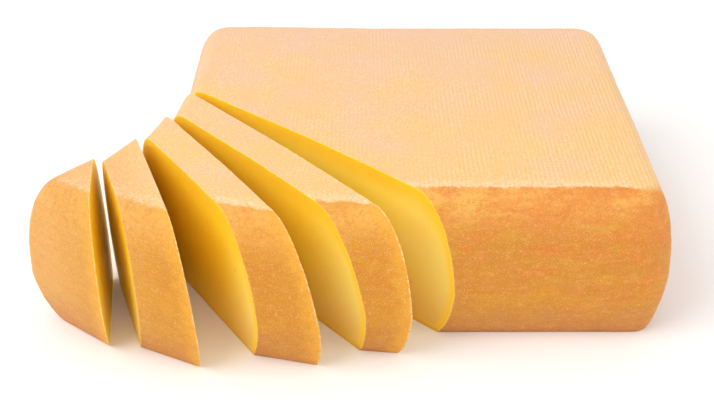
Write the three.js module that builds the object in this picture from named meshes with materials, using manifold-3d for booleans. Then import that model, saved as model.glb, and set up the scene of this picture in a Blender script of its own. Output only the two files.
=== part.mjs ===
// A square raclette cheese block with four pieces cut across its front left corner and fanned out.
// Millimetres, Z up, the cheese stands on the plane Z = 0 and its front faces -Y.
import * as THREE from 'three';
import { mergeVertices } from 'three/addons/utils/BufferGeometryUtils.js';
import Module from 'manifold-3d';

const wasm = await Module();
wasm.setup();

// Whole cheese before it was cut, measured from the point that the cuts are drawn from.
const cheese = {
  width: 260,
  depthFront: 111,
  depthBack: 127,
  height: 80.6,
  crownRise: 1.6,
};

// Plan radius of each upright corner at the bottom edge, the widest level and the top edge.
const corners = {
  frontLeft: { bottom: 9, widest: 11, top: 5 },
  frontRight: { bottom: 9, widest: 22, top: 7.5 },
  backLeft: { bottom: 15, widest: 23, top: 7.5 },
  backRight: { bottom: 15, widest: 23, top: 7.5 },
};

// Upright profile of the rind: how far the top and bottom edges lie inside the widest level.
const profile = {
  widestLevel: 29.4,
  topInset: 17.1,
  topInsetBack: 20.5,
  backDip: 4,
  topPower: 2.23,
  bottomInset: 8.6,
  bottomPower: 1.4,
};

// Knife cuts across the corner: direction of the normal, then thickness at the top and lean.
const cutAngle = 46.5;
const blockCut = { offset: -68.8, lean: 3.2 };
const innerCut = { thickness: 20.4, lean: 9.7 };
const middleCut = { thickness: 19.9, lean: 6.5 };
const outerCut = { thickness: 20.7, lean: 2.3 };
const kerf = 0.4;

// Fan: each cut piece turns about one point and slides on the board.
const fanPivot = { x: -113, y: 11.6 };
const fan = {
  inner: { turn: -7.3, x: -4.4, y: -2.8 },
  middle: { turn: -14.6, x: -7.6, y: -4.7 },
  outer: { turn: -27.5, x: -3.1, y: -8.8 },
  corner: { turn: -38.9, x: 4.6, y: -14.8 },
};

// Mesh fineness of the rind and the height of its hand-made unevenness.
const gridSide = 16;
const gridHeight = 12;
const unevenness = 0.5;

const rindMaterial = { color: 0xf0b96e, roughness: 0.62, metalness: 0 };
const pasteMaterial = { color: 0xeeb54c, roughness: 0.5, metalness: 0 };
const outerPasteMaterial = { color: 0xe9ab45, roughness: 0.5, metalness: 0 };
const cornerMaterial = { color: 0xf2b66a, roughness: 0.6, metalness: 0 };

const radians = THREE.MathUtils.degToRad;

// Inset of the rind from its widest level at a height, as two blended arcs.
function insetAt(z, topInset) {
  const level = profile.widestLevel;
  if (z >= level) {
    const u = Math.min((z - level) / (cheese.height - level), 1);
    return topInset * (1 - (1 - u ** profile.topPower) ** (1 / profile.topPower));
  }
  const u = Math.min((level - z) / level, 1);
  return profile.bottomInset * (1 - (1 - u ** profile.bottomPower) ** (1 / profile.bottomPower));
}

// Soft swell of the pressed surface, a sum of long waves.
function swell(x, y, z) {
  const across = Math.sin(x / 31 + y / 47 + 0.8) * Math.cos(y / 37 - z / 29);
  const along = Math.sin(x / 67 - y / 23 + z / 21 + 2.1);
  return unevenness * (0.6 * across + 0.4 * along);
}

// Grid lines crowd towards the corners of the plan.
function crowd(t) {
  return Math.sin((t * Math.PI) / 2);
}

// Plan radius of the corner that a point belongs to, at one level.
function cornerRadius(u, v, z) {
  const side = v > 0 ? { left: corners.backLeft, right: corners.backRight }
    : { left: corners.frontLeft, right: corners.frontRight };
  const radii = u > 0 ? side.right : side.left;
  if (z >= profile.widestLevel) {
    const share = insetAt(z, 1);
    return radii.widest + (radii.top - radii.widest) * share;
  }
  const share = insetAt(z, 1) / profile.bottomInset;
  return radii.widest + (radii.bottom - radii.widest) * share;
}

// Moves a point of the flat square grid onto the rounded plan of the cheese at one level.
function planPoint(u, v, ring, z) {
  const sag = profile.backDip * THREE.MathUtils.smoothstep(u / ring, -0.8, -0.1);
  const insetX = insetAt(z, profile.topInset);
  const insetY = v > 0 ? insetAt(z, profile.topInsetBack + sag) : insetX;
  const halfX = cheese.width / 2 - insetX;
  const halfY = (v > 0 ? cheese.depthBack : cheese.depthFront) - insetY;
  const radius = cornerRadius(u, v, z);
  const point = new THREE.Vector2((u / ring) * halfX, (v / ring) * halfY);
  const centre = new THREE.Vector2(Math.sign(u) * (halfX - radius), Math.sign(v) * (halfY - radius));
  const beyondX = (point.x - centre.x) * Math.sign(u);
  const beyondY = (point.y - centre.y) * Math.sign(v);
  if (beyondX > 0 && beyondY > 0) {
    point.sub(centre).setLength(radius).add(centre);
  }
  return point.multiplyScalar(ring);
}

// The uncut cheese: a box grid bent into the rounded, bulging and slightly crowned form.
function wholeCheese() {
  const grid = new THREE.BoxGeometry(2, 2, 2, gridSide, gridSide, gridHeight);
  const place = grid.attributes.position;
  const corner = new THREE.Vector3();
  for (let i = 0; i < place.count; i += 1) {
    corner.fromBufferAttribute(place, i);
    const u = crowd(corner.x);
    const v = crowd(corner.y);
    const level = (1 + crowd(corner.z)) / 2;
    const ring = Math.max(Math.abs(u), Math.abs(v), 1e-6);
    const z = level * cheese.height;
    const plan = planPoint(u, v, ring, z);
    const onTop = corner.z > 0.999;
    const onBottom = corner.z < -0.999;
    if (onTop) {
      const rise = cheese.crownRise * (1 - ring ** 2) + 0.5 * swell(plan.x, plan.y, 60) * (1 - ring ** 4);
      place.setXYZ(i, plan.x, plan.y, z + rise);
    } else if (onBottom) {
      place.setXYZ(i, plan.x, plan.y, 0);
    } else {
      const push = 1 + (swell(plan.x, plan.y, z) * Math.sin(Math.PI * level)) / (cheese.width / 2);
      place.setXYZ(i, plan.x * push, plan.y * push, z);
    }
  }
  return grid;
}

// A closed solid from a geometry, for cutting.
function solidOf(geometry) {
  const plain = geometry.clone();
  plain.deleteAttribute('normal');
  plain.deleteAttribute('uv');
  const merged = mergeVertices(plain, 1e-4);
  return new wasm.Manifold(new wasm.Mesh({
    numProp: 3,
    vertProperties: Float32Array.from(merged.attributes.position.array),
    triVerts: Uint32Array.from(merged.index.array),
  }));
}

// Slab between two leaning cuts; offsets are taken at the top, leans are added towards the bottom.
function slab(far, near) {
  const box = new THREE.BoxGeometry(2, 2, 2);
  const place = box.attributes.position;
  const reach = 400;
  const below = -20;
  const above = cheese.height + 20;
  const normal = new THREE.Vector2(Math.cos(radians(cutAngle)), Math.sin(radians(cutAngle)));
  for (let i = 0; i < place.count; i += 1) {
    const cut = place.getX(i) > 0 ? near : far;
    const z = place.getZ(i) > 0 ? above : below;
    const across = cut.offset + cut.lean * (1 - z / cheese.height);
    const along = place.getY(i) * reach;
    place.setXYZ(i, normal.x * across - normal.y * along, normal.y * across + normal.x * along, z);
  }
  return solidOf(box);
}

function geometryOf(solid) {
  const mesh = solid.getMesh();
  const geometry = new THREE.BufferGeometry();
  geometry.setAttribute('position', new THREE.BufferAttribute(mesh.vertProperties, 3));
  geometry.setIndex(new THREE.BufferAttribute(mesh.triVerts, 1));
  geometry.computeVertexNormals();
  return geometry;
}

// One piece between two cuts, drawn about the fan's turning point and set down where it lies.
function piece(name, look, far, near, pose) {
  const cut = whole.intersect(slab(far, near));
  const geometry = geometryOf(cut).translate(-fanPivot.x, -fanPivot.y, 0);
  const mesh = new THREE.Mesh(geometry, new THREE.MeshStandardMaterial(look));
  mesh.name = name;
  mesh.position.set(fanPivot.x + pose.x, fanPivot.y + pose.y, 0);
  mesh.rotation.z = radians(pose.turn);
  return mesh;
}

const whole = solidOf(wholeCheese());
const farSide = { offset: -400, lean: 0 };
const nearSide = { offset: 400, lean: 0 };
const innerOffset = blockCut.offset - innerCut.thickness;
const middleOffset = innerOffset - middleCut.thickness;
const outerOffset = middleOffset - outerCut.thickness;
const atBlock = { offset: blockCut.offset, lean: blockCut.lean };
const atInner = { offset: innerOffset, lean: innerCut.lean };
const atMiddle = { offset: middleOffset, lean: middleCut.lean };
const atOuter = { offset: outerOffset, lean: outerCut.lean };
const still = { turn: 0, x: 0, y: 0 };

// The near face of a piece starts one knife's width beyond the cut of its neighbour.
function beyond(cut) {
  return { offset: cut.offset - kerf, lean: cut.lean };
}

const cheeseGroup = new THREE.Group();
cheeseGroup.add(piece('cheese_block', rindMaterial, atBlock, nearSide, still));
cheeseGroup.add(piece('slice_inner', pasteMaterial, atInner, beyond(atBlock), fan.inner));
cheeseGroup.add(piece('slice_middle', pasteMaterial, atMiddle, beyond(atInner), fan.middle));
cheeseGroup.add(piece('slice_outer', outerPasteMaterial, atOuter, beyond(atMiddle), fan.outer));
cheeseGroup.add(piece('corner_piece', cornerMaterial, farSide, beyond(atOuter), fan.corner));

// The part's origin is the middle of its footprint.
cheeseGroup.updateMatrixWorld(true);
const footprint = new THREE.Box3().setFromObject(cheeseGroup, true);
const middle = footprint.getCenter(new THREE.Vector3());
cheeseGroup.position.set(-middle.x, -middle.y, 0);

const part = new THREE.Group();
part.name = 'raclette_cheese';
part.add(cheeseGroup);
part.updateMatrixWorld(true);

export default part;
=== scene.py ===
# Square raclette cheese with four pieces cut across one corner and fanned out.
import math

import bmesh
import bpy
from mathutils import Matrix, Vector, noise
from mathutils.kdtree import KDTree


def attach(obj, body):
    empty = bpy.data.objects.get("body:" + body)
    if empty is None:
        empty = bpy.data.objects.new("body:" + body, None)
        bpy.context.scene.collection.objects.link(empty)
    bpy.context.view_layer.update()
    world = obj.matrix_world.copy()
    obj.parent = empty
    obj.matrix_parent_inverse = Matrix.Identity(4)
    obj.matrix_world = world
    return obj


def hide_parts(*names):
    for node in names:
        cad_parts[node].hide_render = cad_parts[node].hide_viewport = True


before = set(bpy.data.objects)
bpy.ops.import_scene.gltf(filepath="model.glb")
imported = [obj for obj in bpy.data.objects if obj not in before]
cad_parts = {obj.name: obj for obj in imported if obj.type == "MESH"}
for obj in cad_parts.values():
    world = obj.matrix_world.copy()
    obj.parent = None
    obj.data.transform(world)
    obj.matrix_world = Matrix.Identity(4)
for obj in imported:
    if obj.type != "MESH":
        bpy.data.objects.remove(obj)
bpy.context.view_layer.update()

print("frame loaded")

cheese = {  # millimetres, before the knife
    "width": 260.0,
    "depthFront": 111.0,
    "depthBack": 127.0,
    "height": 80.6,
    "crownRise": 1.6,
    "underside": 0.01,  # what lies lower than this stays flat on the table
    "widestLevel": 29.4,
    "topInset": 17.1,
    "topInsetBack": 20.5,
    "backDip": 4.0,
    "topPower": 2.23,
    "bottomInset": 8.6,
    "bottomPower": 1.4,
    "gridHalvings": 7,
    "rimFarAway": 120.0,  # distance from the rim that the underside counts as having
    "drawnFromX": 31.84,  # where the cuts' drawing point lies in the frame
    "drawnFromY": 7.33,
}
cornerRadii = {  # bottom edge, widest level, top edge
    (-1, -1): (9.0, 11.0, 5.0),
    (1, -1): (9.0, 22.0, 7.5),
    (-1, 1): (15.0, 23.0, 7.5),
    (1, 1): (15.0, 23.0, 7.5),
}
swell = {  # soft unevenness of the pressed form in millimetres: its height and how far apart its waves lie
    "height": 0.5,
    "mainShare": 0.6,
    "mainX": 31.0,
    "mainY": 47.0,
    "mainShift": 0.8,
    "crossY": 37.0,
    "crossZ": 29.0,
    "sideX": 67.0,
    "sideY": 23.0,
    "sideZ": 21.0,
    "sideShift": 2.1,
    "topLevel": 60.0,  # the level that the top takes its swell from
    "topShare": 0.5,
}
relief = {  # millimetres
    "sink": 0.34,  # the relief goes inwards from the pressed form
    "dents": 0.22,
    "dentSize": 15.0,
    "pebble": 0.13,
    "pebbleSize": 5.5,
    "grit": 0.09,
    "gritSize": 2.4,
    "wrinkle": 0.09,
    "wrinkleLength": 16.0,
    "wrinkleHeight": 2.6,
    "wrinkleFade": 6.0,
    "rimRidge": 0.32,
    "rimRidgeWidth": 1.2,
    "rimRidgeInside": 0.8,
    "rimRidgePatch": 4.2,
}
paleTop = {  # millimetres: where the pale top wraps over the edge, from none to all, and how far down
    "drop": 15.0,
    "back": (92.0, 116.0),
    "right": (102.0, 118.0),
    "rightFrom": (-106.0, -76.0),
    "left": (100.0, 116.0),
    "leftFrom": (-104.0, -66.0),
}


def insetAt(z, topInset):
    # how far the side lies inside its widest level, at one height
    level = cheese["widestLevel"]
    if z >= level:
        u = min((z - level) / (cheese["height"] - level), 1.0)
        return topInset * (1 - max(1 - u ** cheese["topPower"], 0.0) ** (1 / cheese["topPower"]))
    u = min((level - z) / level, 1.0)
    power = cheese["bottomPower"]
    return cheese["bottomInset"] * (1 - max(1 - u ** power, 0.0) ** (1 / power))


def swellAt(x, y, z):
    # long soft waves of the pressed surface
    main = math.sin(x / swell["mainX"] + y / swell["mainY"] + swell["mainShift"])
    main *= math.cos(y / swell["crossY"] - z / swell["crossZ"])
    side = math.sin(x / swell["sideX"] - y / swell["sideY"] + z / swell["sideZ"] + swell["sideShift"])
    return swell["height"] * (swell["mainShare"] * main + (1 - swell["mainShare"]) * side)


def smoothStep(value, low, high):
    t = min(max((value - low) / (high - low), 0.0), 1.0)
    return t * t * (3 - 2 * t)


def crowd(t):
    # grid lines lie closer together towards the edges
    return math.sin(t * math.pi / 2)


def planPoint(u, v, ring, z):
    # a point of the flat square grid, moved onto the rounded plan at one height
    signU = 1 if u > 0 else -1
    signV = 1 if v > 0 else -1
    sag = cheese["backDip"] * smoothStep(u / ring, -0.8, -0.1)
    insetX = insetAt(z, cheese["topInset"])
    insetY = insetAt(z, cheese["topInsetBack"] + sag) if v > 0 else insetX
    halfX = cheese["width"] / 2 - insetX
    halfY = (cheese["depthBack"] if v > 0 else cheese["depthFront"]) - insetY
    low, wide, high = cornerRadii[(signU, signV)]
    if z >= cheese["widestLevel"]:
        radius = wide + (high - wide) * insetAt(z, 1.0)
    else:
        radius = wide + (low - wide) * insetAt(z, 1.0) / cheese["bottomInset"]
    point = Vector((u / ring * halfX, v / ring * halfY))
    centre = Vector((signU * (halfX - radius), signV * (halfY - radius)))
    arm = point - centre
    if arm.x * signU > 0 and arm.y * signV > 0:
        point = centre + arm.normalized() * radius
    return point * ring, min(halfX, halfY)


def pressedPoint(corner):
    # a point of the cube's grid, bent onto the pressed cheese; also how far it lies below the rim
    u, v = crowd(corner.x), crowd(corner.y)
    level = (1 + crowd(corner.z)) / 2
    ring = max(abs(u), abs(v), 1e-6)
    z = level * cheese["height"]
    plan, half = planPoint(u, v, ring, z)
    if corner.z > 0.9999:
        rise = cheese["crownRise"] * (1 - ring ** 2)
        rise += swell["topShare"] * swellAt(plan.x, plan.y, swell["topLevel"]) * (1 - ring ** 4)
        return Vector((plan.x, plan.y, z + rise)), -(1 - ring) * half
    if corner.z < -0.9999:
        return Vector((plan.x, plan.y, 0)), cheese["rimFarAway"]
    push = 1 + swellAt(plan.x, plan.y, z) * math.sin(math.pi * level) / (cheese["width"] / 2)
    drop = math.hypot(cheese["height"] - z, cheese["topInset"] - insetAt(z, cheese["topInset"]))
    return Vector((plan.x * push, plan.y * push, z)), drop


def paleWrap(p):
    # 0 where the pale top ends at the rim, as at the front, and 1 where it wraps over the edge
    back = smoothStep(p.y, *paleTop["back"])
    right = smoothStep(p.x, *paleTop["right"]) * smoothStep(p.y, *paleTop["rightFrom"])
    left = smoothStep(-p.x, *paleTop["left"]) * smoothStep(p.y, *paleTop["leftFrom"])
    return max(back, right, left)


def reliefAt(p, rim):
    # dents and pebbling of the washed rind, wrinkles on the sides, a ragged ridge along the rim;
    # the added vectors keep the noises apart
    height = -relief["sink"]
    height += relief["dents"] * noise.noise(p / relief["dentSize"])
    height += relief["pebble"] * noise.noise(p / relief["pebbleSize"] + Vector((7, 3, 1)))
    height += relief["grit"] * noise.noise(p / relief["gritSize"] + Vector((1, 6, 2)))
    if rim > 0:
        long, tall = relief["wrinkleLength"], relief["wrinkleHeight"]
        crease = noise.noise(Vector((p.x / long, p.y / long, p.z / tall)))
        height += relief["wrinkle"] * crease * smoothStep(rim, 0.0, relief["wrinkleFade"])
    ragged = 0.7 + 0.9 * noise.noise(p / relief["rimRidgePatch"] + Vector((0, 11, 0)))
    ridge = relief["rimRidge"] * (1 - paleWrap(p))
    fromRidge = (rim + relief["rimRidgeInside"]) / relief["rimRidgeWidth"]
    return height + ridge * ragged * math.exp(-(fromRidge ** 2))


def wholeCheese():
    # a cube's grid bent into the pressed cheese, with how far each point lies from the rim
    bm = bmesh.new()
    bmesh.ops.create_cube(bm, size=2)
    for halving in range(cheese["gridHalvings"]):
        bmesh.ops.subdivide_edges(bm, edges=bm.edges[:], cuts=1, use_grid_fill=True)
    bm.verts.layers.float.new("rimDistance")
    bm.verts.layers.float.new("border")
    rimLayer = bm.verts.layers.float["rimDistance"]
    borderLayer = bm.verts.layers.float["border"]
    for vert in bm.verts:
        vert.co, vert[rimLayer] = pressedPoint(vert.co)
        vert[borderLayer] = vert[rimLayer] - paleTop["drop"] * paleWrap(vert.co)
    bm.normal_update()
    moved = []
    for vert in bm.verts:
        if vert.co.z < cheese["underside"]:
            moved.append(vert.co.copy())
            continue
        place = vert.co + vert.normal * reliefAt(vert.co, vert[rimLayer])
        place.z = max(place.z, 0.0)
        moved.append(place)
    for vert, place in zip(bm.verts, moved):
        vert.co = place
    return bm


knife = {  # degrees and millimetres
    "angle": 46.5,
    "kerf": 0.4,
    "faceWave": 0.15,
    "faceWaveSize": 26.0,
    "faceWaveFade": 8.0,
    "faceRings": (0.45, 0.9),  # widths of the rings inside the rim of a cut
    "faceGrid": 3.0,
    "shortest": 0.4,  # rim edges shorter than this are merged
    "ragged": 0.22,
    "raggedSize": 2.2,
    "noCut": 200.0,  # distance that a piece gets to a cut that it doesn't have
}
cuts = {  # offset along the cut's normal at the top edge, and how far the cut leans out at the bottom
    "block": (-68.8, 3.2),
    "inner": (-89.2, 9.7),
    "middle": (-109.1, 6.5),
    "outer": (-129.8, 2.3),
}
fanPivot = (-113.0, 11.6)
pieceValues = {  # far cut, near cut, turn in degrees, slide x and y, the record's slot
    "cheese_block": ("block", None, 0.0, 0.0, 0.0, "rind_block"),
    "slice_inner": ("inner", "block", -7.3, -4.4, -2.8, "cut_slice"),
    "slice_middle": ("middle", "inner", -14.6, -7.6, -4.7, "cut_slice"),
    "slice_outer": ("outer", "middle", -27.5, -3.1, -8.8, "cut_slice_outer"),
    "corner_piece": (None, "outer", -38.9, 4.6, -14.8, "rind_corner"),
}


def cutPlane(name, kerf):
    # a point of the leaning cut and its unit normal, which points towards the middle of the cheese
    offset, lean = cuts[name]
    angle = math.radians(knife["angle"])
    across = Vector((math.cos(angle), math.sin(angle), 0))
    normal = across + Vector((0, 0, lean / cheese["height"]))
    return across * (offset - kerf + lean), normal.normalized()


def sliceOff(bm, point, normal):
    # cuts away what lies beyond the plane, closes the cut and gives it rings and a grid
    everything = bm.verts[:] + bm.edges[:] + bm.faces[:]
    bmesh.ops.bisect_plane(
        bm, geom=everything, dist=1e-5, plane_co=point, plane_no=normal, clear_outer=True
    )
    crowded = [v for v in bm.verts if v.is_boundary]
    bmesh.ops.remove_doubles(bm, verts=crowded, dist=knife["shortest"])
    rim = [e for e in bm.edges if e.is_boundary]
    rimVerts = [v for v in bm.verts if v.is_boundary]
    face = bmesh.ops.contextual_create(bm, geom=rim)["faces"][0]
    face.normal_update()
    if face.normal.dot(normal) < 0:
        face.normal_flip()
    face.material_index = 1
    for edge in rim:
        edge.smooth = False
    apart = (Vector((0, 0, 0)), Vector((9, 9, 9)), Vector((5, 1, 7)))
    for vert in rimVerts:  # the rind crumbles a little at the knife's edge
        p = vert.co / knife["raggedSize"]
        crumb = Vector([noise.noise(p + shift) for shift in apart])
        crumb -= normal * crumb.dot(normal)
        if vert.co.z > cheese["underside"]:
            vert.co += crumb * knife["ragged"]
            vert.co.z = max(vert.co.z, 0.0)
    for width in knife["faceRings"]:
        bmesh.ops.inset_region(bm, faces=[face], thickness=width, use_boundary=True)
    along = Vector((-normal.y, normal.x, 0)).normalized()
    geometry = [face] + face.edges[:] + face.verts[:]
    for direction in (along, normal.cross(along)):
        reach = [v.co.dot(direction) for v in rimVerts]
        low, high = min(reach), max(reach)
        steps = int((high - low) / knife["faceGrid"])
        for k in range(1, steps):
            spot = direction * (low + (high - low) * k / steps)
            made = bmesh.ops.bisect_plane(bm, geom=geometry, dist=1e-4, plane_co=spot, plane_no=direction)
            geometry = list(dict.fromkeys(made["geom"] + made["geom_cut"]))
    return rimVerts


def markCut(bm, rimVerts, normal):
    # how far each point of the cut lies from the rind, and the soft wave that the knife leaves
    depth = bm.verts.layers.float["depth"]
    spots = []
    rimSet = set(rimVerts)
    for vert in rimVerts:
        spots.append(vert.co.copy())
        for edge in vert.link_edges:
            other = edge.other_vert(vert)
            if other in rimSet:
                spots.append(vert.co.lerp(other.co, 0.5))
    tree = KDTree(len(spots))
    for i, spot in enumerate(spots):
        tree.insert(spot, i)
    tree.balance()
    faces = [f for f in bm.faces if f.material_index == 1 and abs(f.normal.dot(normal)) > 0.999]
    verts = {v for f in faces for v in f.verts} - rimSet
    for vert in verts:
        vert[depth] = tree.find(vert.co)[2]
        wave = noise.noise(vert.co / knife["faceWaveSize"]) - 1
        fade = smoothStep(vert[depth], 0.0, knife["faceWaveFade"])
        vert.co += normal * (knife["faceWave"] * wave * fade)


def makePiece(whole, name, looks):
    # one piece between its cuts, with what the materials need to know, turned and set down in the fan
    far, near, turn, slideX, slideY, slotName = pieceValues[name]
    bm = whole.copy()
    for layer in ("depth", "nearCut", "farCut", "fromPivot"):
        bm.verts.layers.float.new(layer)
    bm.verts.layers.float_vector.new("cheesePlace")
    planes = {}
    if near:
        planes["nearCut"] = cutPlane(near, knife["kerf"])
    if far:
        point, normal = cutPlane(far, 0.0)
        planes["farCut"] = (point, -normal)
    for layer, (point, normal) in planes.items():
        rim = sliceOff(bm, point, normal)
        bm.normal_update()
        markCut(bm, rim, normal)
    place = bm.verts.layers.float_vector["cheesePlace"]
    for layer in ("nearCut", "farCut"):
        values = bm.verts.layers.float[layer]
        for vert in bm.verts:
            vert[values] = knife["noCut"]
            if layer in planes:
                point, normal = planes[layer]
                vert[values] = (point - vert.co).dot(normal)
    fromPivot = bm.verts.layers.float["fromPivot"]
    for vert in bm.verts:
        vert[place] = vert.co
        vert[fromPivot] = (vert.co.xy - Vector(fanPivot)).length
    for face in bm.faces:
        face.smooth = True
    pivot = Matrix.Translation((fanPivot[0], fanPivot[1], 0))
    pose = Matrix.Translation((slideX + cheese["drawnFromX"], slideY + cheese["drawnFromY"], 0))
    spun = Matrix.Rotation(math.radians(turn), 4, "Z")
    metres = Matrix.Scale(0.001, 4)
    whereItLies = metres @ pose @ pivot @ spun @ pivot.inverted()
    bmesh.ops.transform(bm, matrix=whereItLies, verts=bm.verts[:])
    mesh = bpy.data.meshes.new(name + "_mesh")
    bm.to_mesh(mesh)
    bm.free()
    for look in looks:
        mesh.materials.append(look)
    piece = bpy.data.objects.new("food_" + name, mesh)
    bpy.context.scene.collection.objects.link(piece)
    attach(piece, "root")
    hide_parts(name)
    print("piece", name, len(mesh.polygons), "faces")


def linear(hexColour):
    parts = [int(hexColour[i : i + 2], 16) / 255 for i in (1, 3, 5)]
    return tuple(c / 12.92 if c <= 0.04045 else ((c + 0.055) / 1.055) ** 2.4 for c in parts) + (1.0,)


def addNode(tree, name, kind, settings, links):
    # settings name a property or an input; a link names the node it comes from, and after a dot the output
    node = tree.nodes.new(kind)
    node.name = name
    for key, value in settings.items():
        if isinstance(value, str) and value.startswith("#"):
            value = linear(value)
        if isinstance(key, str) and hasattr(node, key):
            setattr(node, key, value)
        else:
            node.inputs[key].default_value = value
    for key, source in links.items():
        giver, dot, output = source.partition(".")
        outputs = tree.nodes[giver].outputs
        socket = outputs[output] if dot else next(o for o in outputs if o.enabled)
        tree.links.new(socket, node.inputs[key])


def makeLook(name, rows):
    look = bpy.data.materials.new(name)
    look.use_nodes = True
    look.node_tree.nodes.clear()
    for row in rows:
        addNode(look.node_tree, *row)
    return look


noiseNode = "ShaderNodeTexNoise"
rangeNode = "ShaderNodeMapRange"
mixNode = "ShaderNodeMix"
mathNode = "ShaderNodeMath"
attributeNode = "ShaderNodeAttribute"
waveScale = math.pi / 10  # a wave texture of this scale has one band in each unit of length

rindLook = {
    "topYellow": "#F1BF76",
    "topPeach": "#EFBD86",
    "topPink": "#EEBD97",
    "topCorner": "#EBB06A",
    "thread": "#FBDDB0",
    "threadGap": "#DC9C5E",
    # sideLitUnderRim to side: painted shade, the side darkening from the rim downwards
    "sideLitUnderRim": "#EEB154",
    "side": "#CE8828",
    "sideYellow": "#D59522",
    "sideRed": "#DC7E30",
    "sidePeach": "#E0A85E",
    "sliceGold": "#D28E1A",
    # footPinkShade: pinkish brown at the foot, partly the rind's colour and partly painted shade near the
    # table
    "footPinkShade": "#C67E48",
    "cutYellow": "#EDAA30",
    "streakLight": "#EFB060",
    "streakDark": "#C2702C",
    # crumb: pale crumbs along the rim, and painted highlight along the knife's edges
    "crumb": "#FBDFB6",
    "speck": "#FBD6A6",
    # topGlint: painted glints of moisture on the top
    "topGlint": "#FFF4E2",
    "vein": "#C86A20",
    "ribSpacing": 2.3,  # millimetres between the threads of the pressing cloth
    "crossSpacing": 2.7,
    "grainSize": 1.0,
    "speckSize": 0.55,  # real specks are finer, but this is as fine as shows
    "roughness": 0.56,
}

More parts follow.
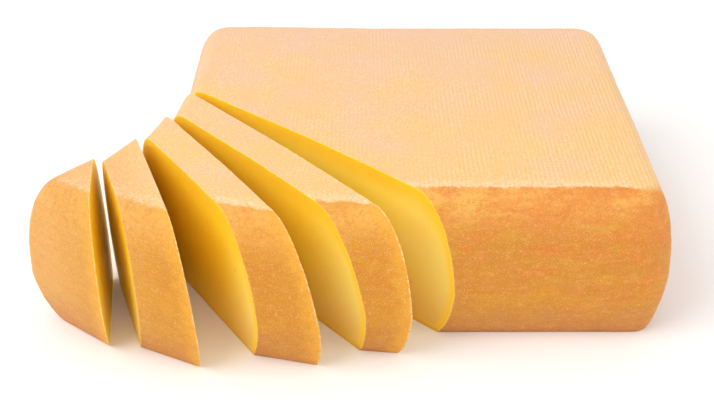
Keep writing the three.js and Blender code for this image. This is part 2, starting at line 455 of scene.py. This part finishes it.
# Washed rind: a crust pressed in cloth and brushed with brine while it ripened. It looks peach and
# finely ribbed on top, and mottled orange on the sides. Noise scales are 1 / size in millimetres.
rindRows = [
    ("place", attributeNode, {"attribute_name": "cheesePlace"}, {}),
    ("axes", "ShaderNodeSeparateXYZ", {}, {"Vector": "place.Vector"}),
    ("rim", attributeNode, {"attribute_name": "rimDistance"}, {}),
    ("border", attributeNode, {"attribute_name": "border"}, {}),
    ("nearCut", attributeNode, {"attribute_name": "nearCut"}, {}),
    ("farCut", attributeNode, {"attribute_name": "farCut"}, {}),
    ("lying", "ShaderNodeMapping", {"Scale": (0.75, 0.75, 1.9)}, {"Vector": "place.Vector"}),
    # the cloth: ribs from front to back, fainter cross threads, both stronger in patches
    ("ribs", "ShaderNodeTexWave", {"Scale": waveScale / rindLook["ribSpacing"], "Distortion": 1.8,
     "Detail": 3.0, "Detail Scale": 0.5}, {"Vector": "place.Vector"}),
    ("crossing", "ShaderNodeTexWave", {"bands_direction": "Y", "Distortion": 2.4, "Detail": 3.0,
     "Scale": waveScale / rindLook["crossSpacing"], "Detail Scale": 0.5}, {"Vector": "place.Vector"}),
    ("ribNoise", noiseNode, {"Scale": 1 / 30, "Detail": 6.0, "Roughness": 0.62},
     {"Vector": "place.Vector"}),
    ("ribSide", mathNode, {"operation": "MULTIPLY_ADD", 1: 0.0012}, {0: "axes.X", 2: "ribNoise.Fac"}),
    ("ribPatch", rangeNode, {"interpolation_type": "SMOOTHSTEP", "From Min": 0.4, "From Max": 0.72,
     "To Min": 0.08}, {"Value": "ribSide"}),
    ("crossNoise", noiseNode, {"Scale": 1 / 20, "Detail": 3.0}, {"Vector": "lying"}),
    ("crossPatch", rangeNode, {"From Min": 0.42, "From Max": 0.66, "To Min": 0.03, "To Max": 0.45},
     {"Value": "crossNoise.Fac"}),
    ("ribWave", mathNode, {"operation": "SUBTRACT", 1: 0.5}, {0: "ribs.Fac"}),
    ("crossWave", mathNode, {"operation": "SUBTRACT", 1: 0.5}, {0: "crossing.Fac"}),
    ("crossPart", mathNode, {"operation": "MULTIPLY"}, {0: "crossWave", 1: "crossPatch"}),
    ("weave", mathNode, {"operation": "MULTIPLY_ADD"}, {0: "ribWave", 1: "ribPatch", 2: "crossPart"}),
    ("onTop", rangeNode, {"interpolation_type": "SMOOTHSTEP", "From Min": 3.0, "From Max": -2.0},
     {"Value": "border.Fac"}),
    ("cloth", mathNode, {"operation": "MULTIPLY"}, {0: "weave", 1: "onTop"}),
    # grain of the crust and specks on it
    ("fine", noiseNode, {"Scale": 1 / rindLook["grainSize"], "Detail": 4.0, "Roughness": 0.65},
     {"Vector": "place.Vector"}),
    ("dots", noiseNode, {"Scale": 1 / rindLook["speckSize"], "Detail": 2.0}, {"Vector": "place.Vector"}),
    # top: yellower at the front, pinker at the back
    ("topNoise", noiseNode, {"Scale": 1 / 42, "Detail": 4.0}, {"Vector": "place.Vector"}),
    ("topPlace", mathNode, {"operation": "MULTIPLY_ADD", 1: 0.0022}, {0: "axes.Y", 2: "topNoise.Fac"}),
    ("topWarm", rangeNode, {"From Min": 0.3, "From Max": 0.55}, {"Value": "topPlace"}),
    ("topCool", rangeNode, {"From Min": 0.5, "From Max": 0.78}, {"Value": "topPlace"}),
    ("top1", mixNode, {"data_type": "RGBA", 6: rindLook["topYellow"], 7: rindLook["topPeach"]},
     {0: "topWarm"}),
    ("top2", mixNode, {"data_type": "RGBA", 7: rindLook["topPink"]}, {0: "topCool", 6: "top1"}),
    ("threadAmount", rangeNode, {"From Min": 0.0, "From Max": 0.45, "To Max": 0.3}, {"Value": "cloth"}),
    ("top3", mixNode, {"data_type": "RGBA", 7: rindLook["thread"]}, {0: "threadAmount", 6: "top2"}),
    ("gapAmount", rangeNode, {"From Min": 0.0, "From Max": -0.45, "To Max": 0.13}, {"Value": "cloth"}),
    ("top4", mixNode, {"data_type": "RGBA", 7: rindLook["threadGap"]}, {0: "gapAmount", 6: "top3"}),
    ("fineDark", rangeNode, {"From Min": 0.54, "From Max": 0.8, "To Max": 0.3}, {"Value": "fine.Fac"}),
    ("top5", mixNode, {"data_type": "RGBA", 7: rindLook["threadGap"]}, {0: "fineDark", 6: "top4"}),
    ("leftAmount", rangeNode, {"interpolation_type": "SMOOTHSTEP", "From Min": -45.0, "From Max": -105.0,
     "To Max": 0.8}, {"Value": "axes.X"}),
    ("frontPart", mathNode, {"operation": "MULTIPLY", 1: 1.05}, {0: "axes.Y"}),
    ("cornerPlace", mathNode, {"operation": "ADD"}, {0: "axes.X", 1: "frontPart"}),
    ("cornerAmount", rangeNode, {"interpolation_type": "SMOOTHSTEP", "From Min": -150.0,
     "From Max": -190.0}, {"Value": "cornerPlace"}),
    ("top6", mixNode, {"data_type": "RGBA", 7: rindLook["topCorner"]}, {0: "cornerAmount", 6: "top5"}),
    # sides: painted shade, lighter under the rim and browner below, yellow and red patches, pinkish at the
    # foot with painted shade low down
    ("sideShadeDown", rangeNode, {"interpolation_type": "SMOOTHSTEP", "From Min": 4.0, "From Max": 30.0},
     {"Value": "rim.Fac"}),
    ("side1", mixNode, {"data_type": "RGBA", 6: rindLook["sideLitUnderRim"], 7: rindLook["side"]},
     {0: "sideShadeDown"}),
    ("yellowNoise", noiseNode, {"Scale": 1 / 15, "Detail": 5.0}, {"Vector": "lying"}),
    ("yellowLow", mathNode, {"operation": "MULTIPLY_ADD", 1: 0.0035}, {0: "rim.Fac", 2: "yellowNoise.Fac"}),
    ("yellowAmount", rangeNode, {"From Min": 0.6, "From Max": 0.82, "To Max": 0.75},
     {"Value": "yellowLow"}),
    ("side2", mixNode, {"data_type": "RGBA", 7: rindLook["sideYellow"]}, {0: "yellowAmount", 6: "side1"}),
    ("redNoise", noiseNode, {"noise_dimensions": "4D", "W": 3.7, "Scale": 1 / 13, "Detail": 6.0,
     "Roughness": 0.6}, {"Vector": "lying"}),
    ("redRight", mathNode, {"operation": "MULTIPLY_ADD", 1: 0.0013}, {0: "axes.X", 2: "redNoise.Fac"}),
    ("redHigh", mathNode, {"operation": "MULTIPLY_ADD", 1: -0.003}, {0: "rim.Fac", 2: "redRight"}),
    ("redAmount", rangeNode, {"From Min": 0.42, "From Max": 0.64, "To Max": 0.7}, {"Value": "redHigh"}),
    ("side3", mixNode, {"data_type": "RGBA", 7: rindLook["sideRed"]}, {0: "redAmount", 6: "side2"}),
    ("side4", mixNode, {"data_type": "RGBA", 7: rindLook["sidePeach"]}, {0: "leftAmount", 6: "side3"}),
    # pinkish brown at the foot: partly rind colour, partly painted shade darkening the lower side
    ("footNoise", noiseNode, {"noise_dimensions": "4D", "W": 1.3, "Scale": 1 / 12, "Detail": 4.0},
     {"Vector": "lying"}),
    ("footPlace", mathNode, {"operation": "MULTIPLY_ADD", 1: 26.0}, {0: "footNoise.Fac", 2: "rim.Fac"}),
    ("footPinkShadeAmount", rangeNode, {"interpolation_type": "SMOOTHSTEP", "From Min": 66.0, "From Max": 95.0,
     "To Max": 0.75}, {"Value": "footPlace"}),
    ("side5", mixNode, {"data_type": "RGBA", 7: rindLook["footPinkShade"]}, {0: "footPinkShadeAmount", 6: "side4"}),
    ("streaks", noiseNode, {"noise_dimensions": "4D", "W": 8.1, "Scale": 1 / 3.4, "Detail": 4.0,
     "Roughness": 0.6}, {"Vector": "lying"}),
    ("streakUp", rangeNode, {"From Min": 0.52, "From Max": 0.76, "To Max": 0.4},
     {"Value": "streaks.Fac"}),
    ("side6", mixNode, {"data_type": "RGBA", 7: rindLook["streakLight"]}, {0: "streakUp", 6: "side5"}),
    ("streakDown", rangeNode, {"From Min": 0.48, "From Max": 0.26, "To Max": 0.32},
     {"Value": "streaks.Fac"}),
    ("side7", mixNode, {"data_type": "RGBA", 7: rindLook["streakDark"]}, {0: "streakDown", 6: "side6"}),
    ("side8", mixNode, {"data_type": "RGBA", 7: rindLook["streakDark"]}, {0: "fineDark", 6: "side7"}),
    # the slices' rind is a little more golden
    ("sliceAmount", rangeNode, {"interpolation_type": "SMOOTHSTEP", "From Min": 26.0, "From Max": 14.0,
     "To Max": 0.28}, {"Value": "nearCut.Fac"}),
    ("side9", mixNode, {"data_type": "RGBA", 7: rindLook["sliceGold"]}, {0: "sliceAmount", 6: "side8"}),
    # fine darker veins where the crust creased under the rim
    ("veinNoise", noiseNode, {"noise_dimensions": "4D", "W": 6.4, "Scale": 1 / 5.5, "Detail": 5.0,
     "Roughness": 0.6, "Distortion": 0.8}, {"Vector": "place.Vector"}),
    ("veinOff", mathNode, {"operation": "SUBTRACT", 1: 0.5}, {0: "veinNoise.Fac"}),
    ("veinNear", mathNode, {"operation": "ABSOLUTE"}, {0: "veinOff"}),
    ("veinLine", rangeNode, {"From Min": 0.03, "From Max": 0.0}, {"Value": "veinNear"}),
    ("veinBand", rangeNode, {"interpolation_type": "SMOOTHSTEP", "From Min": 34.0, "From Max": 8.0,
     "To Min": 0.06, "To Max": 0.42}, {"Value": "rim.Fac"}),
    ("veins", mathNode, {"operation": "MULTIPLY"}, {0: "veinLine", 1: "veinBand"}),
    ("side10", mixNode, {"data_type": "RGBA", 7: rindLook["vein"]}, {0: "veins", 6: "side9"}),
    # light comes through the thin edge beside a cut
    ("glowNoise", noiseNode, {"Scale": 1 / 5, "Detail": 3.0}, {"Vector": "place.Vector"}),
    ("glowPlace", mathNode, {"operation": "MULTIPLY_ADD", 1: 9.0}, {0: "glowNoise.Fac", 2: "nearCut.Fac"}),
    ("glow", rangeNode, {"interpolation_type": "SMOOTHSTEP", "From Min": 12.5, "From Max": 4.0,
     "To Max": 0.7}, {"Value": "glowPlace"}),
    ("side11", mixNode, {"data_type": "RGBA", 7: rindLook["cutYellow"]}, {0: "glow", 6: "side10"}),
    # the border between top and sides: ragged at the front rim, soft where the pale top wraps over the edge
    ("wander", noiseNode, {"noise_dimensions": "4D", "W": 5.2, "Scale": 1 / 5.5, "Detail": 6.0,
     "Roughness": 0.75}, {"Vector": "place.Vector"}),
    ("wanderPart", rangeNode, {"clamp": False, "From Min": 0.3, "From Max": 0.7, "To Min": -1.7,
     "To Max": 1.7}, {"Value": "wander.Fac"}),
    ("edge", mathNode, {"operation": "ADD"}, {0: "border.Fac", 1: "wanderPart"}),
    ("wrapped", mathNode, {"operation": "SUBTRACT"}, {0: "rim.Fac", 1: "border.Fac"}),
    ("softWrap", rangeNode, {"From Min": 0.0, "From Max": 12.0, "To Min": 1.1, "To Max": 8.0},
     {"Value": "wrapped"}),
    ("softLeft", rangeNode, {"interpolation_type": "SMOOTHSTEP", "From Min": -40.0, "From Max": -95.0,
     "To Min": 1.1, "To Max": 6.0}, {"Value": "axes.X"}),
    ("softness", mathNode, {"operation": "MAXIMUM"}, {0: "softWrap", 1: "softLeft"}),
    ("edgeShare", mathNode, {"operation": "DIVIDE"}, {0: "edge", 1: "softness"}),
    ("isSide", rangeNode, {"interpolation_type": "SMOOTHSTEP", "From Min": -1.0, "From Max": 1.0},
     {"Value": "edgeShare"}),
    ("both", mixNode, {"data_type": "RGBA"}, {0: "isSide", 6: "top6", 7: "side11"}),
    # pale crumbs along the rim; along the knife's edges a pale line, partly crumbs and partly painted
    # highlight; pale specks, painted glints on the top and whitish dots on the sides
    ("crumbNoise", noiseNode, {"Scale": 1 / 1.5, "Detail": 4.0}, {"Vector": "place.Vector"}),
    ("crumbPatch", rangeNode, {"From Min": 0.4, "From Max": 0.7}, {"Value": "crumbNoise.Fac"}),
    ("rimUpper", rangeNode, {"interpolation_type": "SMOOTHSTEP", "From Min": -9.0, "From Max": -2.0,
     "To Max": 0.75}, {"Value": "edge"}),
    ("rimLower", rangeNode, {"From Min": 1.2, "From Max": -0.4}, {"Value": "edge"}),
    ("rimFront", rangeNode, {"From Min": 4.0, "From Max": 0.0}, {"Value": "wrapped"}),
    ("rim1", mathNode, {"operation": "MULTIPLY"}, {0: "rimUpper", 1: "rimLower"}),
    ("rim2", mathNode, {"operation": "MULTIPLY"}, {0: "rim1", 1: "rimFront"}),
    # painted highlight along the cut edges of the rind, broken into patches together with the crumbs
    ("nearCutHighlight", rangeNode, {"From Min": 0.7, "From Max": 0.15, "To Max": 0.9}, {"Value": "nearCut.Fac"}),
    ("farCutHighlight", rangeNode, {"From Min": 0.4, "From Max": 0.1, "To Max": 0.4}, {"Value": "farCut.Fac"}),
    ("cutHighlight", mathNode, {"operation": "MAXIMUM"}, {0: "nearCutHighlight", 1: "farCutHighlight"}),
    ("cutHighlightAndRimCrumbs", mathNode, {"operation": "MAXIMUM"}, {0: "cutHighlight", 1: "rim2"}),
    ("crumbsAndCutHighlight", mathNode, {"operation": "MULTIPLY"}, {0: "cutHighlightAndRimCrumbs", 1: "crumbPatch"}),
    ("both2", mixNode, {"data_type": "RGBA", 7: rindLook["crumb"]}, {0: "crumbsAndCutHighlight", 6: "both"}),
    # pale specks: painted glints on the top, whitish dots on the sides
    ("speckColour", mixNode, {"data_type": "RGBA", 6: rindLook["topGlint"], 7: rindLook["speck"]},
     {0: "isSide"}),
    ("speckMost", rangeNode, {"To Min": 0.62, "To Max": 0.34}, {"Value": "isSide"}),
    ("speckAmount", rangeNode, {"From Min": 0.52, "From Max": 0.72},
     {"Value": "dots.Fac", "To Max": "speckMost"}),
    ("colour", mixNode, {"data_type": "RGBA"}, {0: "speckAmount", 6: "both2", 7: "speckColour"}),
    ("gleamNoise", noiseNode, {"Scale": 1 / 3.2, "Detail": 3.0}, {"Vector": "place.Vector"}),
    ("rough", rangeNode, {"From Min": 0.3, "From Max": 0.7, "To Min": rindLook["roughness"] - 0.1,
     "To Max": rindLook["roughness"] + 0.12}, {"Value": "gleamNoise.Fac"}),
    # bump heights in millimetres
    ("height1", mathNode, {"operation": "MULTIPLY", 1: 0.09}, {0: "cloth"}),
    ("height2", mathNode, {"operation": "MULTIPLY_ADD", 1: 0.36}, {0: "fine.Fac", 2: "height1"}),
    ("height3", mathNode, {"operation": "MULTIPLY_ADD", 1: 0.28}, {0: "dots.Fac", 2: "height2"}),
    ("height4", mathNode, {"operation": "MULTIPLY_ADD", 1: 0.22}, {0: "streaks.Fac", 2: "height3"}),
    ("bump", "ShaderNodeBump", {"Strength": 0.9, "Distance": 0.001}, {"Height": "height4"}),
    ("shader", "ShaderNodeBsdfPrincipled", {"IOR": 1.45, "Specular IOR Level": 0.24,
     "Subsurface Weight": 0.15, "Subsurface Radius": (0.004, 0.002, 0.0006), "Subsurface Scale": 1.0},
     {"Base Color": "colour", "Roughness": "rough", "Normal": "bump"}),
    ("surface", "ShaderNodeOutputMaterial", {}, {"Surface": "shader"}),
]

pasteLook = {
    "paste": "#FAD96E",
    "pasteLight": "#FBDE7C",
    "pasteLow": "#EDBB58",
    # gapBounce and gapBounceFan: painted bounce light, deeper saturated gold between the slices
    "gapBounce": "#FFDE58",
    "gapBounceFan": "#FFD02C",
    "band": "#FFC934",
    "rindLine": "#F2B028",
    # eye: painted shade inside the pinhole eyes
    "eyeShade": "#D08A1C",
    "eyeSpacing": 11.0,
    "roughness": 0.42,
}

# Semi-hard paste parted by a knife: waxy, smooth and golden, with painted bounce light making it deeper
# gold between the slices, where light only comes through the cheese; brighter yellow under the rind, a few
# pinhole eyes.
pasteRows = [
    ("place", attributeNode, {"attribute_name": "cheesePlace"}, {}),
    ("axes", "ShaderNodeSeparateXYZ", {}, {"Vector": "place.Vector"}),
    ("depth", attributeNode, {"attribute_name": "depth"}, {}),
    ("fromPivot", attributeNode, {"attribute_name": "fromPivot"}, {}),
    ("toneNoise", noiseNode, {"Scale": 1 / 22, "Detail": 3.0}, {"Vector": "place.Vector"}),
    ("tone", rangeNode, {"From Min": 0.35, "From Max": 0.65}, {"Value": "toneNoise.Fac"}),
    ("paste1", mixNode, {"data_type": "RGBA", 6: pasteLook["paste"], 7: pasteLook["pasteLight"]},
     {0: "tone"}),
    ("lowAmount", rangeNode, {"interpolation_type": "SMOOTHSTEP", "From Min": 36.0, "From Max": 2.0,
     "To Max": 0.8}, {"Value": "axes.Z"}),
    ("paste2", mixNode, {"data_type": "RGBA", 7: pasteLook["pasteLow"]}, {0: "lowAmount", 6: "paste1"}),
    # painted bounce light: deeper gold in the narrow gaps between the slices, near the pivot and low down
    ("gapPlace", mathNode, {"operation": "MULTIPLY_ADD", 1: -0.6}, {0: "axes.Z", 2: "fromPivot.Fac"}),
    ("gapBounce", rangeNode, {"interpolation_type": "SMOOTHSTEP", "From Min": 138.0, "From Max": 78.0},
     {"Value": "gapPlace"}),
    ("frontPart", mathNode, {"operation": "MULTIPLY", 1: 1.05}, {0: "axes.Y"}),
    ("cornerPlace", mathNode, {"operation": "ADD"}, {0: "axes.X", 1: "frontPart"}),
    ("inFan", rangeNode, {"From Min": -105.0, "From Max": -135.0}, {"Value": "cornerPlace"}),
    ("gapBounceColour", mixNode, {"data_type": "RGBA", 6: pasteLook["gapBounce"], 7: pasteLook["gapBounceFan"]},
     {0: "inFan"}),
    ("paste3", mixNode, {"data_type": "RGBA"}, {0: "gapBounce", 6: "paste2", 7: "gapBounceColour"}),
    ("bandDepth", rangeNode, {"interpolation_type": "SMOOTHSTEP", "From Min": 12.0, "From Max": 1.5,
     "To Max": 0.9}, {"Value": "depth.Fac"}),
    ("bandHigh", rangeNode, {"interpolation_type": "SMOOTHSTEP", "From Min": 46.0, "From Max": 72.0},
     {"Value": "axes.Z"}),
    ("bandAmount", mathNode, {"operation": "MULTIPLY"}, {0: "bandDepth", 1: "bandHigh"}),
    ("paste4", mixNode, {"data_type": "RGBA", 7: pasteLook["band"]}, {0: "bandAmount", 6: "paste3"}),
    ("skin", rangeNode, {"interpolation_type": "SMOOTHSTEP", "From Min": 4.0, "From Max": 0.8,
     "To Max": 0.75}, {"Value": "depth.Fac"}),
    ("paste5", mixNode, {"data_type": "RGBA", 7: pasteLook["band"]}, {0: "skin", 6: "paste4"}),
    ("lineAmount", rangeNode, {"From Min": 0.6, "From Max": 0.1, "To Max": 0.3}, {"Value": "depth.Fac"}),
    ("paste6", mixNode, {"data_type": "RGBA", 7: pasteLook["rindLine"]}, {0: "lineAmount", 6: "paste5"}),
    # pinhole eyes, darkened with painted shade inside them
    ("eyes", "ShaderNodeTexVoronoi", {"Scale": 1 / pasteLook["eyeSpacing"]}, {"Vector": "place.Vector"}),
    ("eyeSize", mathNode, {"operation": "MULTIPLY", 1: 0.085}, {0: "eyes.Color"}),
    ("eyeInside", mathNode, {"operation": "SUBTRACT"}, {0: "eyeSize", 1: "eyes.Distance"}),
    ("eyeHole", rangeNode, {"From Min": 0.0, "From Max": 0.03, "To Max": 0.6}, {"Value": "eyeInside"}),
    ("colour", mixNode, {"data_type": "RGBA", 7: pasteLook["eyeShade"]}, {0: "eyeHole", 6: "paste6"}),
    ("gleamNoise", noiseNode, {"Scale": 1 / 5, "Detail": 3.0}, {"Vector": "place.Vector"}),
    ("rough", rangeNode, {"From Min": 0.3, "From Max": 0.7, "To Min": pasteLook["roughness"] - 0.06,
     "To Max": pasteLook["roughness"] + 0.08}, {"Value": "gleamNoise.Fac"}),
    # bump heights in millimetres: drag of the knife, fine grain, eyes
    ("dragNoise", noiseNode, {"Scale": 1 / 9, "Detail": 2.0}, {"Vector": "place.Vector"}),
    ("grainNoise", noiseNode, {"Scale": 1 / 2.4, "Detail": 3.0}, {"Vector": "place.Vector"}),
    ("height1", mathNode, {"operation": "MULTIPLY", 1: 0.35}, {0: "dragNoise.Fac"}),
    ("height2", mathNode, {"operation": "MULTIPLY_ADD", 1: 0.14}, {0: "grainNoise.Fac", 2: "height1"}),
    ("height3", mathNode, {"operation": "MULTIPLY_ADD", 1: -0.8}, {0: "eyeHole", 2: "height2"}),
    ("bump", "ShaderNodeBump", {"Strength": 0.7, "Distance": 0.001}, {"Height": "height3"}),
    ("shader", "ShaderNodeBsdfPrincipled", {"IOR": 1.45, "Specular IOR Level": 0.15,
     "Subsurface Weight": 0.8, "Subsurface Radius": (0.004, 0.008, 0.0015), "Subsurface Scale": 1.0},
     {"Base Color": "colour", "Roughness": "rough", "Normal": "bump"}),
    ("surface", "ShaderNodeOutputMaterial", {}, {"Surface": "shader"}),
]

rind = makeLook("washed rind, cloth pressed", rindRows)
paste = makeLook("semi-hard cheese paste, knife cut", pasteRows)
print("materials made")

whole = wholeCheese()
print("whole cheese pressed")
for name in pieceValues:
    makePiece(whole, name, (rind, paste))
whole.free()

floorValues = {
    "colour": "#FBFBFA",
    "size": 6.0,
    "roughness": 0.8,
}
lamps = {  # power in watts, size, place and what each looks at in metres
    "overhead_softbox": (2.0, 1.6, (-0.25, 0.15, 1.5), (0, 0, 0)),
    "left_softbox": (12.5, 1.3, (-0.95, -0.55, 1.2), (-0.03, 0, 0.03)),
    "right_softbox": (4.2, 1.0, (1.3, -0.5, 0.5), (0.05, 0, 0.03)),
    "front_softbox": (1.2, 0.7, (0.35, -1.35, 0.55), (-0.02, 0, 0.03)),
}
roomStrength = 0.76
cameraValues = {  # metres, degrees and millimetres; the angle that the photograph was taken from
    "place": (0.00269, -0.61637, 0.38049),
    "down": 30.13,
    "yaw": 0.09,
    "lens": 63.34,
    "sensor": 36.0,
    "clipStart": 0.01,
}


def makeFloor():
    bm = bmesh.new()
    bmesh.ops.create_grid(bm, x_segments=1, y_segments=1, size=floorValues["size"] / 2)
    mesh = bpy.data.meshes.new("table_top")
    bm.to_mesh(mesh)
    bm.free()
    look = bpy.data.materials.new("matt white laminate")
    look.use_nodes = True
    shader = look.node_tree.nodes["Principled BSDF"]
    shader.inputs["Base Color"].default_value = linear(floorValues["colour"])
    shader.inputs["Roughness"].default_value = floorValues["roughness"]
    mesh.materials.append(look)
    floor = bpy.data.objects.new("table_top", mesh)
    bpy.context.scene.collection.objects.link(floor)


def makeLight(name, power, size, place, target):
    data = bpy.data.lights.new(name, "AREA")
    data.shape = "DISK"
    data.size = size
    data.energy = power
    lamp = bpy.data.objects.new(name, data)
    lamp.location = place
    lamp.rotation_euler = (Vector(target) - Vector(place)).to_track_quat("-Z", "Y").to_euler()
    bpy.context.scene.collection.objects.link(lamp)


def makeCamera():
    data = bpy.data.cameras.new("studio_camera")
    data.lens = cameraValues["lens"]
    data.sensor_width = cameraValues["sensor"]
    data.clip_start = cameraValues["clipStart"]
    camera = bpy.data.objects.new("studio_camera", data)
    camera.location = cameraValues["place"]
    tilt = 90 - cameraValues["down"]
    camera.rotation_euler = (math.radians(tilt), 0, math.radians(-cameraValues["yaw"]))
    bpy.context.scene.collection.objects.link(camera)
    bpy.context.scene.camera = camera


makeFloor()
for name, (power, size, place, target) in lamps.items():
    makeLight(name, power, size, place, target)
makeCamera()
world = bpy.data.worlds.new("studio_room")
world.use_nodes = True
background = world.node_tree.nodes["Background"]
background.inputs["Color"].default_value = (1, 1, 1, 1)
background.inputs["Strength"].default_value = roomStrength
bpy.context.scene.world = world
bpy.context.scene.view_settings.view_transform = "Standard"
print("stage set")
